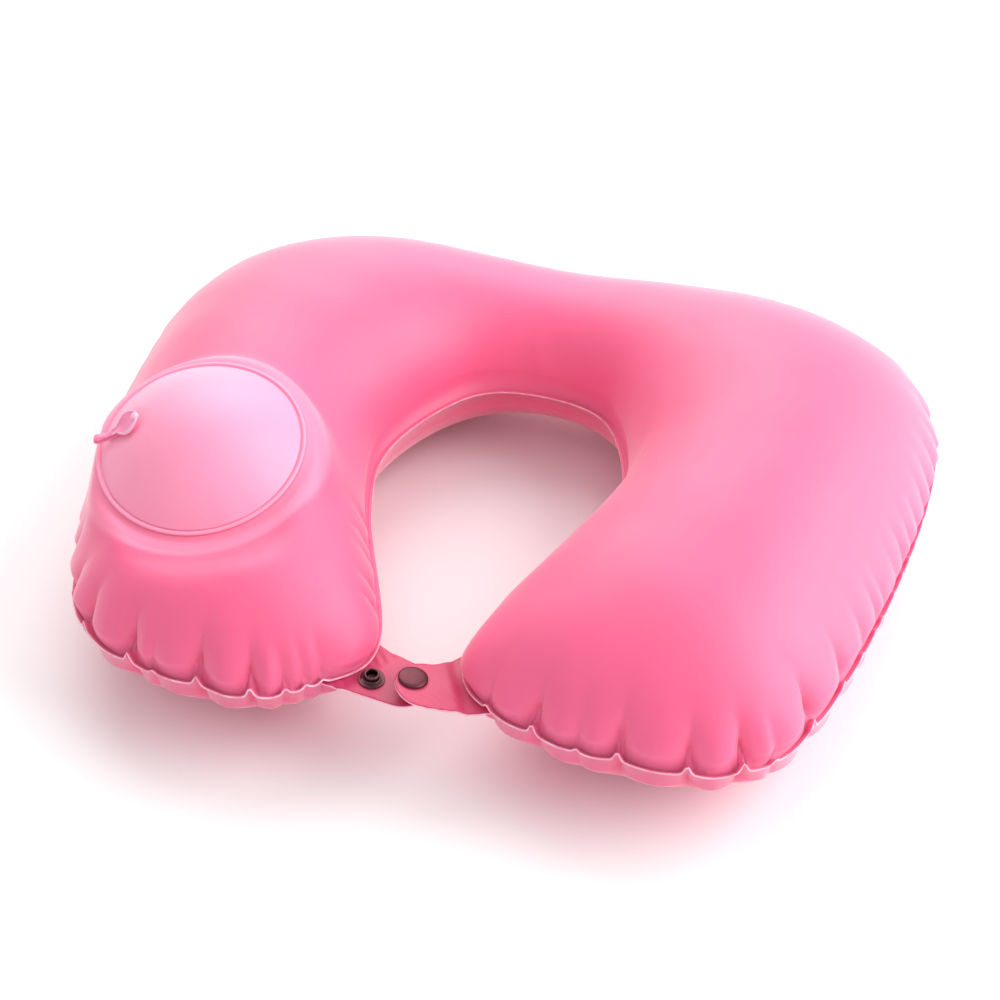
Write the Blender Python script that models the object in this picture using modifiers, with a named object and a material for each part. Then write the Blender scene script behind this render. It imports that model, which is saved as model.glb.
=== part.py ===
"""Inflatable U-shaped neck pillow with a press pump, a plug valve and two snap tabs.

Metres, +Z up, opening towards -Y. The origin is on the rest plane, under the middle of the
pillow's outline. The flange, where the two panels are welded together, is level.
"""

import math

import bmesh
import bpy
import numpy as np
from mathutils import Matrix, Vector
from mathutils.geometry import delaunay_2d_cdt

# Control points of the flange's outer edge, clockwise from the middle of the back.
OUTLINE = [
    (0.000, 0.163), (0.133, 0.153), (0.202, 0.080), (0.167, -0.129), (0.087, -0.161),
    (0.016, -0.127), (0.046, -0.032), (0.057, 0.011), (0.037, 0.064), (-0.003, 0.077),
    (-0.037, 0.065), (-0.062, 0.016), (-0.056, -0.034), (-0.025, -0.116), (-0.040, -0.148),
    (-0.083, -0.167), (-0.170, -0.126), (-0.201, 0.076), (-0.133, 0.158),
]
FLANGE_WIDTH = 0.0045
FILM = 0.0008  # panel thickness
GAP = 0.0003  # clearance between neighbouring pieces
UPPER_FULLNESS = 0.915  # 1 would be a half-round section
LOWER_FULLNESS = 0.68
CONTACT_DEPTH = 0.0420  # depth at which the lower panel lies flat on the ground
FLANGE_HEIGHT = CONTACT_DEPTH + FILM + GAP / 2

EDGE_SPACING = 0.014  # mesh density along the flange
FIELD_SPACING = 0.021  # mesh density across the panels
WALL_STEPS = (0.003, 0.009)  # rows of points just inside the weld, where the wall is steep

# The pump's seat: a flat round patch of the upper panel, tilted towards the front.
SEAT_CENTRE = (-0.125, -0.067, FLANGE_HEIGHT + 0.0520)
SEAT_TILT = math.radians(16.5)
SEAT_HOLE_RADIUS = 0.0446
SEAT_FLAT_RADIUS = 0.0500
SEAT_FADE_RADIUS = 0.0780
SEAT_EDGE_FADE = 0.0060
SEAT_RINGS = (SEAT_HOLE_RADIUS, SEAT_FLAT_RADIUS, 0.0580)

LARGE_STEPS = 32  # sides of the pump's turned pieces
SMALL_STEPS = 20  # sides of the valve's and the snaps' turned pieces

DOME_RADIUS = 0.0437
DOME_HEIGHT = 0.0230
DOME_SKIN = 0.0010
DOME_SKIRT = 0.0030
RIM_INNER_RADIUS = 0.0445
RIM_OUTER_RADIUS = 0.0480
RIM_HEIGHT = 0.0014
RIM_BEVEL = 0.0008
DISH_INNER_RADIUS = 0.0442
DISH_LIP_RADIUS = SEAT_FLAT_RADIUS - 0.0010
DISH_DEPTH = 0.0150
FOAM_BASE = -DISH_DEPTH + 0.0018
VALVE_POCKET_RADIUS, VALVE_POCKET_DEPTH = 0.0085, 0.0155  # hollow in the foam for the valve
OUTLET_HOLE_RADIUS = 0.0043
OUTLET_BORE_RADIUS = 0.0026
OUTLET_TUBE_RADIUS = 0.0040
OUTLET_FLANGE_RADIUS = 0.0066
OUTLET_LIP = 0.0010  # how far the outlet seat stands out on both sides of the dish
OUTLET_FLAP_RADIUS = 0.0048
INTAKE_FLAP_RADIUS = 0.0038

# The valve stands on the dome's skin, near its left edge.
VALVE_DISTANCE = 0.0315
VALVE_BEARING = math.radians(-174)
VALVE_HOLE_RADIUS = 0.0046
VALVE_BORE_RADIUS = 0.0027
VALVE_TUBE_RADIUS = 0.0036
VALVE_NECK_RADIUS = 0.0042
VALVE_FLANGE_RADIUS = 0.0064
VALVE_TOP = 0.0008
VALVE_TUBE_END = -0.0085
FLAP_HALF_THICKNESS = 0.0003
PLUG_TWIST = math.radians(17)  # turn of the plug and its strap round the bore's axis
PLUG_HINGE = (0.0108, 0.0042)  # distance from the bore's axis, and height over the dome's skin
LEAF_LOW, LEAF_HIGH = 0.0016, 0.0028
LEAF_TIP, LEAF_LENGTH = -0.0072, 0.0152
LEAF_HALF_WIDTH = 0.0047
STEM_RADIUS, STEM_TIP_RADIUS, STEM_END = 0.0021, 0.0010, -0.0026
KNOB_RADIUS, KNOB_TOP, KNOB_PLACE = 0.0016, 0.0038, -0.0062
STRAP_RADIUS = 0.0006
# The strap's middle line beside the valve: distance from the bore's axis, and height over the skin.
STRAP_ROUTE = [
    (0.0084, 0.0022), (0.0108, 0.0030), (0.0132, 0.0046), (0.0152, 0.0060), (0.0168, 0.0062),
    (0.0176, 0.0050), (0.0166, 0.0036), (0.0142, 0.0026), (0.0112, 0.0014), (0.0080, 0.0006),
    (0.0047, 0.0004),
]

TAB_THICKNESS = 0.0010
RIGHT_HINGE = (0.0173, -0.1320)
RIGHT_YAW = math.radians(206.6)
RIGHT_TILT = math.radians(10)
LEFT_HINGE = (-0.0272, -0.1367)
LEFT_YAW = math.radians(-33.4)
LEFT_TILT = math.radians(-5)
CAP_PLACE = (0.0215, -0.0030)  # in the right tab's own plane, from its hinge
STUD_PLACE = (0.0064, 0.0004)  # in the left tab's own plane, from its hinge
CAP_HOLE_RADIUS, STUD_HOLE_RADIUS = 0.0020, 0.0024
# Each tab seen from above: the ends of its root on the flange, the middle, radius and sweep of its
# round end, and the directions in which its sides leave and meet the flange.
RIGHT_TAB = {
    "root": ((0.033, -0.149), (0.018, -0.107)),
    "end_centre": (0.0028, -0.1400),
    "end_radius": 0.0135,
    "end_sweep": (math.radians(100), math.radians(265)),
    "corner_turns": ((-0.95, -0.30), (0.90, 0.42)),
}
LEFT_TAB = {
    "root": ((-0.0245, -0.114), (-0.041, -0.150)),
    "end_centre": (-0.0080, -0.1380),
    "end_radius": 0.0130,
    "end_sweep": (math.radians(-95), math.radians(80)),
    "corner_turns": ((0.95, -0.3), (-0.7, 0.7)),
}
SIDE_REACH = 0.022  # how far a tab's side runs on in its end directions
SNAP_FACE = TAB_THICKNESS / 2 + GAP  # height of the snap's faces over the middle of a tab


def clear_scene():
    for obj in list(bpy.data.objects):
        bpy.data.objects.remove(obj, do_unlink=True)


def make_collection(name):
    collection = bpy.data.collections.new(name)
    bpy.context.scene.collection.children.link(collection)
    return collection


def make_material(name, color, roughness, metallic=0.0):
    material = bpy.data.materials.new(name)
    material.use_nodes = True
    shader = material.node_tree.nodes["Principled BSDF"]
    shader.inputs["Base Color"].default_value = (*color, 1.0)
    shader.inputs["Roughness"].default_value = roughness
    shader.inputs["Metallic"].default_value = metallic
    material.diffuse_color = (*color, 1.0)
    return material


def add_object(name, data, collection, material=None, parent=None, location=(0, 0, 0), rotation=(0, 0, 0)):
    obj = bpy.data.objects.new(name, data)
    collection.objects.link(obj)
    obj.location = location
    obj.rotation_euler = rotation
    obj.parent = parent
    if material is not None:
        data.materials.append(material)
    return obj


def smooth_loop(points, steps=24):
    """A closed Catmull-Rom curve through the points."""
    here = np.array(points)
    before, after, later = np.roll(here, 1, 0), np.roll(here, -1, 0), np.roll(here, -2, 0)
    t = (np.arange(steps) / steps)[:, None, None]
    curve = 0.5 * (
        2 * here
        + (after - before) * t
        + (2 * before - 5 * here + 4 * after - later) * t**2
        + (3 * here - before - 3 * after + later) * t**3
    )
    return curve.transpose(1, 0, 2).reshape(-1, 2)


def even_loop(loop, spacing):
    """The same closed loop with its points evenly spaced."""
    closed = np.vstack([loop, loop[:1]])
    run = np.append(0, np.cumsum(np.linalg.norm(np.diff(closed, axis=0), axis=1)))
    count = round(run[-1] / spacing)
    at = np.arange(count) * run[-1] / count
    return np.column_stack([np.interp(at, run, closed[:, axis]) for axis in range(2)])


def inset(loop, distance):
    """A clockwise loop moved inwards, or outwards for a negative distance."""
    along = np.roll(loop, -1, 0) - np.roll(loop, 1, 0)
    along /= np.linalg.norm(along, axis=1)[:, None]
    return loop + distance * np.column_stack([along[:, 1], -along[:, 0]])


def centred_outline():
    loop = smooth_loop(OUTLINE)
    return loop - (loop.min(0) + loop.max(0)) / 2


def distance_to(loop, points):
    start, run = loop, np.roll(loop, -1, 0) - loop
    offset = points[:, None, :] - start[None, :, :]
    share = np.clip((offset * run).sum(2) / (run * run).sum(1), 0, 1)
    return np.linalg.norm(offset - share[:, :, None] * run, axis=2).min(1)


def seat_radius(points):
    """Distance from the pump's axis, measured in the tilted plane of its seat."""
    across = points[:, 0] - SEAT_CENTRE[0]
    along = (points[:, 1] - SEAT_CENTRE[1]) / math.cos(SEAT_TILT)
    return np.hypot(across, along)


def seat_height(points):
    return SEAT_CENTRE[2] + (points[:, 1] - SEAT_CENTRE[1]) * math.tan(SEAT_TILT)


def seat_circle(radius):
    """A circle round the pump's axis in the seat's plane, seen from above."""
    turn = 2 * math.pi * np.arange(LARGE_STEPS) / LARGE_STEPS
    across = SEAT_CENTRE[0] + radius * np.cos(turn)
    along = SEAT_CENTRE[1] + radius * np.sin(turn) * math.cos(SEAT_TILT)
    return np.column_stack([across, along])


def field_points(low, high):
    """A triangular grid of points over the outline's box."""
    rows = np.arange(low[1], high[1], FIELD_SPACING * math.sin(math.pi / 3))
    columns = np.arange(low[0], high[0], FIELD_SPACING)
    grid = [(x + FIELD_SPACING / 2 * (i % 2), y) for i, y in enumerate(rows) for x in columns]
    return np.array(grid)


def panel_layout():
    """The flat pattern that both panels share: its points, its triangles and their depth from the edge."""
    outline = centred_outline()
    edge = even_loop(outline, EDGE_SPACING)
    weld = inset(edge, FLANGE_WIDTH)
    inner = []
    for step in WALL_STEPS:
        ring = inset(edge, FLANGE_WIDTH + step)
        inner.append(ring[distance_to(outline, ring) > 0.97 * (FLANGE_WIDTH + step)])
    field = field_points(outline.min(0), outline.max(0))
    inner.append(field)
    inner = np.vstack(inner)
    inner = inner[seat_radius(inner) > SEAT_RINGS[-1] + WALL_STEPS[0]]
    depth = distance_to(outline, inner)
    inside = np.array([winding(outline, point) for point in inner])
    on_ring = np.abs(depth[:, None] - FLANGE_WIDTH - np.array(WALL_STEPS)[None, :]).min(1) < 0.0006
    room = FLANGE_WIDTH + WALL_STEPS[-1] + FIELD_SPACING / 2
    inner = inner[inside & (on_ring | (depth > room))]
    rings = np.vstack([seat_circle(radius) for radius in SEAT_RINGS[1:]])
    rings = rings[distance_to(outline, rings) > FLANGE_WIDTH + WALL_STEPS[0] * 0.9]
    hole = seat_circle(SEAT_RINGS[0])
    points = np.vstack([edge, weld, hole, rings, inner])
    loops = [(0, len(edge)), (len(edge), len(weld)), (len(edge) + len(weld), len(hole))]
    edges = [(first + i, first + (i + 1) % count) for first, count in loops for i in range(count)]
    outer_face = [list(range(len(edge)))]
    found = delaunay_2d_cdt([Vector(point) for point in points], edges, outer_face, 1, 1e-7)
    spots = np.array([tuple(point) for point in found[0]])
    return spots, np.array(found[2]), distance_to(outline, spots)


def winding(loop, point):
    """True when the point is inside the closed loop."""
    here, after = loop - point, np.roll(loop, -1, 0) - point
    turn = np.arctan2(here[:, 0] * after[:, 1] - here[:, 1] * after[:, 0], (here * after).sum(1))
    return abs(turn.sum()) > math.pi


def membrane(spots, triangles, free):
    """Height of a film blown up from the pattern, for a half-round section.

    Half the height squared solves the membrane equation with a uniform load, and is zero on the weld.
    """
    stiffness = np.zeros((len(spots), len(spots)))
    load = np.zeros(len(spots))
    for triangle in triangles:
        a, b, c = spots[triangle]
        sides = np.array([c - b, a - c, b - a])
        area = abs(sides[0, 0] * sides[1, 1] - sides[0, 1] * sides[1, 0]) / 2
        stiffness[np.ix_(triangle, triangle)] += sides @ sides.T / (4 * area)
        load[triangle] += area / 3
    half_square = np.zeros(len(spots))
    half_square[free] = np.linalg.solve(stiffness[np.ix_(free, free)], load[free])
    return np.sqrt(2 * np.maximum(half_square, 0))


def smoothstep(low, high, value):
    share = np.clip((value - low) / (high - low), 0, 1)
    return share * share * (3 - 2 * share)


def panel_mesh(name, spots, height, triangles):
    mesh = bpy.data.meshes.new(name)
    mesh.from_pydata([(x, y, z) for (x, y), z in zip(spots, height)], [], [tuple(t) for t in triangles])
    work = bmesh.new()
    work.from_mesh(mesh)
    bmesh.ops.delete(work, geom=[v for v in work.verts if not v.link_faces], context="VERTS")
    bmesh.ops.recalc_face_normals(work, faces=work.faces)
    up = sum(face.normal.z * face.calc_area() for face in work.faces)
    if up < 0:
        bmesh.ops.reverse_faces(work, faces=work.faces)
    work.to_mesh(mesh)
    work.free()
    mesh.shade_smooth()
    return mesh


def thicken(obj, thickness, outwards):
    shell = obj.modifiers.new("film", "SOLIDIFY")
    shell.thickness = thickness
    shell.offset = outwards
    shell.use_even_offset = True


def add_panels(collection, material):
    spots, triangles, depth = panel_layout()
    free = np.nonzero(depth > FLANGE_WIDTH + 0.0005)[0]
    rise = membrane(spots, triangles, free)

    middle = spots[triangles].mean(1)
    kept = triangles[seat_radius(middle) > SEAT_HOLE_RADIUS]
    upper = FLANGE_HEIGHT + GAP / 2 + UPPER_FULLNESS * rise
    seat = 1 - smoothstep(SEAT_FLAT_RADIUS, SEAT_FADE_RADIUS, seat_radius(spots))
    seat *= smoothstep(FLANGE_WIDTH, FLANGE_WIDTH + SEAT_EDGE_FADE, depth)
    upper += seat * (seat_height(spots) - upper)
    over = panel_mesh("upper_panel", spots, upper, kept)
    thicken(add_object("upper_panel", over, collection, material), FILM, 1)

    lower = FLANGE_HEIGHT - GAP / 2 - np.minimum(LOWER_FULLNESS * rise, CONTACT_DEPTH)
    under = panel_mesh("lower_panel", spots, lower, triangles)
    thicken(add_object("lower_panel", under, collection, material), FILM, -1)


def turned(name, profile, collection, material, parent, closed=True, location=(0, 0, 0), rotation=(0, 0, 0)):
    """A turned piece. The profile's (radius, height) points run down its outer side."""
    mesh = bpy.data.meshes.new(name)
    edges = [(i, i + 1) for i in range(len(profile) - 1)]
    if closed:
        edges.append((len(profile) - 1, 0))
    mesh.from_pydata([(radius, 0, height) for radius, height in profile], edges, [])
    obj = add_object(name, mesh, collection, material, parent, location, rotation)
    screw = obj.modifiers.new("turn", "SCREW")
    screw.axis = "Z"
    large = max(radius for radius, height in profile) > 0.02
    screw.steps = LARGE_STEPS if large else SMALL_STEPS
    screw.render_steps = screw.steps
    screw.use_merge_vertices = True
    screw.merge_threshold = 0.000005
    return obj


def cut(obj, tool, operation="DIFFERENCE"):
    change = obj.modifiers.new(operation.lower(), "BOOLEAN")
    change.operation = operation
    change.object = tool
    change.solver = "EXACT"


def add_tool(name, radius, low, high, collection, parent, location=(0, 0, 0), low_radius=None):
    """A hidden round tool along its parent's Z, from low to high, which may be a cone."""
    mesh = bpy.data.meshes.new(name)
    work = bmesh.new()
    low_radius = low_radius or radius
    middle = Matrix.Translation((0, 0, (low + high) / 2))
    bmesh.ops.create_cone(
        work, cap_ends=True, segments=24, radius1=low_radius, radius2=radius, depth=high - low, matrix=middle
    )
    work.to_mesh(mesh)
    work.free()
    tool = add_object(name, mesh, collection, None, parent, location)
    tool.hide_render = True
    tool.display_type = "WIRE"
    return tool


def add_empty(name, collection, location, rotation, parent=None):
    empty = add_object(name, None, collection, None, parent, location, rotation)
    empty.empty_display_size = 0.01
    return empty


def dome_height(radius, base_radius, height):
    """Height above the rim plane of a spherical cap, at a distance from its axis."""
    sphere = (base_radius**2 + height**2) / (2 * height)
    return math.sqrt(sphere**2 - radius**2) - (sphere - height)


def dome_slope(radius, base_radius, height):
    sphere = (base_radius**2 + height**2) / (2 * height)
    return math.asin(radius / sphere)


def cap_profile(base_radius, height, steps=7):
    """Points down a spherical cap, from its top to its rim."""
    slopes = [dome_slope(base_radius, base_radius, height) * i / steps for i in range(steps + 1)]
    sphere = (base_radius**2 + height**2) / (2 * height)
    return [(sphere * math.sin(a), sphere * math.cos(a) - (sphere - height)) for a in slopes]


def add_pump(collection, tools, film, foam_material, plastic):
    """The press pump, in a frame whose Z is the seat's normal and whose origin is on the seat."""
    frame = add_empty("pump_frame", collection, SEAT_CENTRE, (SEAT_TILT, 0, 0))
    place = (
        VALVE_DISTANCE * math.cos(VALVE_BEARING),
        VALVE_DISTANCE * math.sin(VALVE_BEARING),
        dome_height(VALVE_DISTANCE, DOME_RADIUS, DOME_HEIGHT),
    )
    slope = dome_slope(VALVE_DISTANCE, DOME_RADIUS, DOME_HEIGHT)
    valve = add_empty("valve_frame", collection, place, (0, slope, VALVE_BEARING), frame)

    outer = cap_profile(DOME_RADIUS, DOME_HEIGHT)
    inner = cap_profile(DOME_RADIUS - DOME_SKIN, DOME_HEIGHT - DOME_SKIN)
    skirt = [(DOME_RADIUS, -DOME_SKIRT), (DOME_RADIUS - DOME_SKIN, -DOME_SKIRT)]
    dome = turned("pump_dome", outer + skirt + inner[::-1], collection, film, frame, closed=False)
    cut(dome, add_tool("valve_hole", VALVE_HOLE_RADIUS, -0.004, 0.004, tools, valve))

    ring_low, ring_high = FILM + GAP, FILM + GAP + RIM_HEIGHT
    rim = [
        (RIM_INNER_RADIUS, ring_high), (RIM_OUTER_RADIUS - RIM_BEVEL, ring_high),
        (RIM_OUTER_RADIUS, ring_high - RIM_BEVEL), (RIM_OUTER_RADIUS, ring_low), (RIM_INNER_RADIUS, ring_low),
    ]
    turned("pump_rim", rim, collection, film, frame)

    floor = -DISH_DEPTH
    dish = [
        (DISH_INNER_RADIUS, -GAP), (DISH_LIP_RADIUS, -GAP), (DISH_LIP_RADIUS, -GAP - FILM),
        (DISH_INNER_RADIUS + FILM, -GAP - FILM), (DISH_INNER_RADIUS + FILM, floor - FILM),
        (OUTLET_HOLE_RADIUS, floor - FILM), (OUTLET_HOLE_RADIUS, floor), (DISH_INNER_RADIUS, floor),
    ]
    turned("pump_dish", dish, collection, film, frame)

    foam_radius = DOME_RADIUS - DOME_SKIN - GAP
    foam_top = cap_profile(foam_radius, DOME_HEIGHT - DOME_SKIN - GAP)
    foam = foam_top + [(foam_radius, -DOME_SKIRT), (foam_radius, FOAM_BASE), (0, FOAM_BASE)]
    foam = turned("pump_foam", foam, collection, foam_material, frame, closed=False)
    cut(foam, add_tool("valve_pocket", VALVE_POCKET_RADIUS, -VALVE_POCKET_DEPTH, 0.006, tools, valve))

    seat_top, seat_end = floor + OUTLET_LIP, floor - FILM - OUTLET_LIP
    seat = [
        (OUTLET_BORE_RADIUS, seat_top), (OUTLET_FLANGE_RADIUS, seat_top), (OUTLET_FLANGE_RADIUS, floor + GAP),
        (OUTLET_TUBE_RADIUS, floor + GAP), (OUTLET_TUBE_RADIUS, seat_end), (OUTLET_BORE_RADIUS, seat_end),
    ]
    turned("outlet_seat", seat, collection, plastic, frame)
    add_flap("outlet_flap", OUTLET_FLAP_RADIUS, (0, 1), seat_end, frame, collection, plastic)
    return valve


def add_flap(name, radius, side, seat_level, frame, collection, plastic):
    """A round check flap under its seat, hinged at its rim on the given side."""
    reach = radius + 0.0002
    level = seat_level - GAP - FLAP_HALF_THICKNESS
    place = (side[0] * reach, side[1] * reach, level)
    hinge = add_empty(name + "_hinge", collection, place, (0, 0, 0), frame)
    disc = [
        (0, FLAP_HALF_THICKNESS), (radius, FLAP_HALF_THICKNESS), (radius, -FLAP_HALF_THICKNESS),
        (0, -FLAP_HALF_THICKNESS),
    ]
    middle = (-side[0] * reach, -side[1] * reach, 0)
    turned(name, disc, collection, plastic, hinge, closed=False, location=middle)


def add_valve(valve, collection, tools, plastic):
    """Valve body, inner flap, plug and strap, in a frame whose Z is the dome's normal."""
    under_skin = -DOME_SKIN - 0.0007
    body = [
        (VALVE_BORE_RADIUS, VALVE_TOP), (VALVE_NECK_RADIUS, VALVE_TOP), (VALVE_NECK_RADIUS, under_skin),
        (VALVE_FLANGE_RADIUS, under_skin), (VALVE_FLANGE_RADIUS, under_skin - FILM),
        (VALVE_TUBE_RADIUS, under_skin - FILM), (VALVE_TUBE_RADIUS, VALVE_TUBE_END),
        (VALVE_BORE_RADIUS, VALVE_TUBE_END),
    ]
    turned("valve_body", body, collection, plastic, valve)
    add_flap("intake_flap", INTAKE_FLAP_RADIUS, (1, 0), VALVE_TUBE_END, valve, collection, plastic)

    twisted = add_empty("plug_frame", collection, (0, 0, 0), (0, 0, PLUG_TWIST), valve)
    hinge_x, hinge_z = PLUG_HINGE
    flip = add_empty("plug_hinge", collection, (hinge_x, 0, hinge_z), (0, 0, 0), twisted)
    leaf = flat_plate(
        "valve_plug", leaf_outline(), LEAF_HIGH - LEAF_LOW, collection, plastic, flip,
        (-hinge_x, 0, (LEAF_LOW + LEAF_HIGH) / 2 - hinge_z),
    )
    stem_top = (LEAF_LOW + LEAF_HIGH) / 2
    stem = add_tool(
        "plug_stem", STEM_RADIUS, STEM_END, stem_top, tools, flip, (-hinge_x, 0, -hinge_z), STEM_TIP_RADIUS
    )
    cut(leaf, stem, "UNION")
    knob_place = (KNOB_PLACE - hinge_x, 0, -hinge_z)
    cut(leaf, add_tool("plug_knob", KNOB_RADIUS, stem_top, KNOB_TOP, tools, flip, knob_place), "UNION")
    add_strap(twisted, collection, plastic)


def leaf_outline(steps=10):
    """A leaf: pointed towards the strap, round towards the knob."""
    half = []
    for i in range(steps + 1):
        share = i / steps
        width = 0.0005 + LEAF_HALF_WIDTH * math.sin(math.pi * share**0.8) ** 0.8
        half.append((LEAF_TIP + LEAF_LENGTH * share, width))
    return half + [(x, -y) for x, y in half[::-1]]


def add_strap(frame, collection, plastic):
    """The plug's strap: out from the leaf, round a hairpin and back to the valve's neck."""
    curve = bpy.data.curves.new("plug_strap", "CURVE")
    curve.dimensions = "3D"
    curve.bevel_depth = STRAP_RADIUS
    curve.bevel_resolution = 2
    curve.use_fill_caps = True
    spline = curve.splines.new("POLY")
    spline.points.add(len(STRAP_ROUTE) - 1)
    for point, (x, z) in zip(spline.points, STRAP_ROUTE):
        point.co = (x, 0, z, 1)
    add_object("plug_strap", curve, collection, plastic, frame)


def flat_plate(name, outline, thickness, collection, material, parent, location, holes=()):
    """A flat piece cut to an outline, with round holes, as one closed mesh."""
    curve = bpy.data.curves.new(name, "CURVE")
    curve.dimensions = "2D"
    curve.fill_mode = "BOTH"
    curve.extrude = thickness / 2
    loops = [outline]
    for (x, y), radius in holes:
        turn = [2 * math.pi * i / 24 for i in range(24)]
        loops.append([(x + radius * math.cos(a), y + radius * math.sin(a)) for a in turn])
    for loop in loops:
        spline = curve.splines.new("POLY")
        spline.points.add(len(loop) - 1)
        spline.use_cyclic_u = True
        for point, (x, y) in zip(spline.points, loop):
            point.co = (x, y, 0, 1)
    shape = add_object(name + "_outline", curve, collection, None, parent, location)
    bpy.context.view_layer.update()
    graph = bpy.context.evaluated_depsgraph_get()
    mesh = bpy.data.meshes.new_from_object(shape.evaluated_get(graph))
    bpy.data.objects.remove(shape, do_unlink=True)
    work = bmesh.new()
    work.from_mesh(mesh)
    bmesh.ops.remove_doubles(work, verts=work.verts, dist=0.000005)
    bmesh.ops.recalc_face_normals(work, faces=work.faces)
    work.to_mesh(mesh)
    work.free()
    return add_object(name, mesh, collection, material, parent, location)


def curved_side(start, start_turn, end, end_turn, steps=8):
    """A Hermite curve between two points, with its direction at each end."""
    t = (np.arange(1, steps) / steps)[:, None]
    start, end = np.array(start), np.array(end)
    start_turn, end_turn = np.array(start_turn), np.array(end_turn)
    return (
        (2 * t**3 - 3 * t**2 + 1) * start
        + (t**3 - 2 * t**2 + t) * start_turn
        + (-2 * t**3 + 3 * t**2) * end
        + (t**3 - t**2) * end_turn
    )


def tab_outline(tab):
    """A tab's outline seen from above: along the flange, out one side, round its end and back."""
    edge = inset(even_loop(centred_outline(), 0.004), -GAP - 0.0002)
    first, last = (np.argmin(np.linalg.norm(edge - corner, axis=1)) for corner in tab["root"])
    root = edge[first : last + 1]
    end_from, end_to = tab["end_sweep"]
    turns = np.linspace(end_from, end_to, 15)
    end = np.array(tab["end_centre"]) + tab["end_radius"] * np.column_stack([np.cos(turns), np.sin(turns)])
    sweep = math.copysign(SIDE_REACH, end_to - end_from)
    leave = sweep * np.array([-math.sin(end_from), math.cos(end_from)])
    arrive = sweep * np.array([-math.sin(end_to), math.cos(end_to)])
    out_turn, back_turn = SIDE_REACH * np.array(tab["corner_turns"])
    out = curved_side(root[-1], out_turn, end[0], leave)
    back = curved_side(end[-1], arrive, root[0], back_turn)
    return np.vstack([root, out, end, back])


def into_frame(outline, hinge, yaw):
    """Points seen from above, in the plane of a tab's own hinge frame."""
    offset = outline - np.array(hinge)
    x_axis = np.array([math.cos(yaw), math.sin(yaw)])
    y_axis = np.array([-math.sin(yaw), math.cos(yaw)])
    return [(float(point @ x_axis), float(point @ y_axis)) for point in offset]


def add_tab(name, tab, hinge, yaw, tilt, hole, collection, film):
    """A snap tab on an empty at its hinge line, on the flange's edge."""
    place = add_empty(name + "_hinge", collection, (*hinge, FLANGE_HEIGHT), (0, -tilt, yaw))
    outline = into_frame(tab_outline(tab), hinge, yaw)
    flat_plate(name, outline, TAB_THICKNESS, collection, film, place, (0, 0, 0), [hole])
    return place


def add_tabs(collection, film):
    right = add_tab(
        "right_snap_tab", RIGHT_TAB, RIGHT_HINGE, RIGHT_YAW, RIGHT_TILT, (CAP_PLACE, CAP_HOLE_RADIUS),
        collection, film,
    )
    left = add_tab(
        "left_snap_tab", LEFT_TAB, LEFT_HINGE, LEFT_YAW, LEFT_TILT, (STUD_PLACE, STUD_HOLE_RADIUS),
        collection, film,
    )
    return right, left


def add_snaps(right, left, collection, metal, dark_metal, spring_metal):
    """The four-part snap, each half riveted through its tab. Heights are from the middle of the tab."""
    at_cap = (*CAP_PLACE, 0)
    cap = [
        (0, SNAP_FACE + 0.0015), (0.0040, SNAP_FACE + 0.0014), (0.0060, SNAP_FACE + 0.0010),
        (0.0067, SNAP_FACE + 0.0005), (0.0067, SNAP_FACE + 0.0002), (0.0064, SNAP_FACE),
        (0.0016, SNAP_FACE), (0.0016, -0.0017), (0, -0.0017),
    ]
    turned("snap_cap", cap, collection, metal, right, closed=False, location=at_cap)
    socket = [
        (0.0019, -SNAP_FACE), (0.0052, -SNAP_FACE), (0.0057, -SNAP_FACE - 0.0004), (0.0057, -0.0030),
        (0.0053, -0.0034), (0.0038, -0.0034), (0.0038, -0.0029), (0.0044, -0.0029), (0.0044, -0.0020),
        (0.0038, -0.0020), (0.0038, -0.0014), (0.0019, -0.0014),
    ]
    turned("snap_socket", socket, collection, dark_metal, right, location=at_cap)
    ring_radius, ring_level, wire_radius = 0.0039, -0.00245, 0.00022
    turns = [-math.pi * i / 4 for i in range(8)]
    ring = [(ring_radius + wire_radius * math.cos(a), ring_level + wire_radius * math.sin(a)) for a in turns]
    turned("socket_spring", ring, collection, spring_metal, right, location=at_cap)

    at_stud = (*STUD_PLACE, 0)
    stud = [
        (0.0024, 0.0042), (0.0027, 0.0045), (0.0032, 0.0045), (0.0035, 0.0041), (0.0034, 0.0032),
        (0.0031, 0.0024), (0.0034, 0.0016), (0.0056, 0.0013), (0.0058, 0.0010), (0.0056, SNAP_FACE),
        (0.0024, SNAP_FACE),
    ]
    turned("snap_stud", stud, collection, dark_metal, left, location=at_stud)
    eyelet = [
        (0.0013, 0.0020), (0.0020, 0.0020), (0.0020, -SNAP_FACE), (0.0046, -SNAP_FACE),
        (0.0050, -SNAP_FACE - 0.0004), (0.0046, -SNAP_FACE - 0.0008), (0.0018, -SNAP_FACE - 0.0008),
        (0.0013, -SNAP_FACE - 0.0003),
    ]
    turned("stud_eyelet", eyelet, collection, dark_metal, left, location=at_stud)


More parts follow.
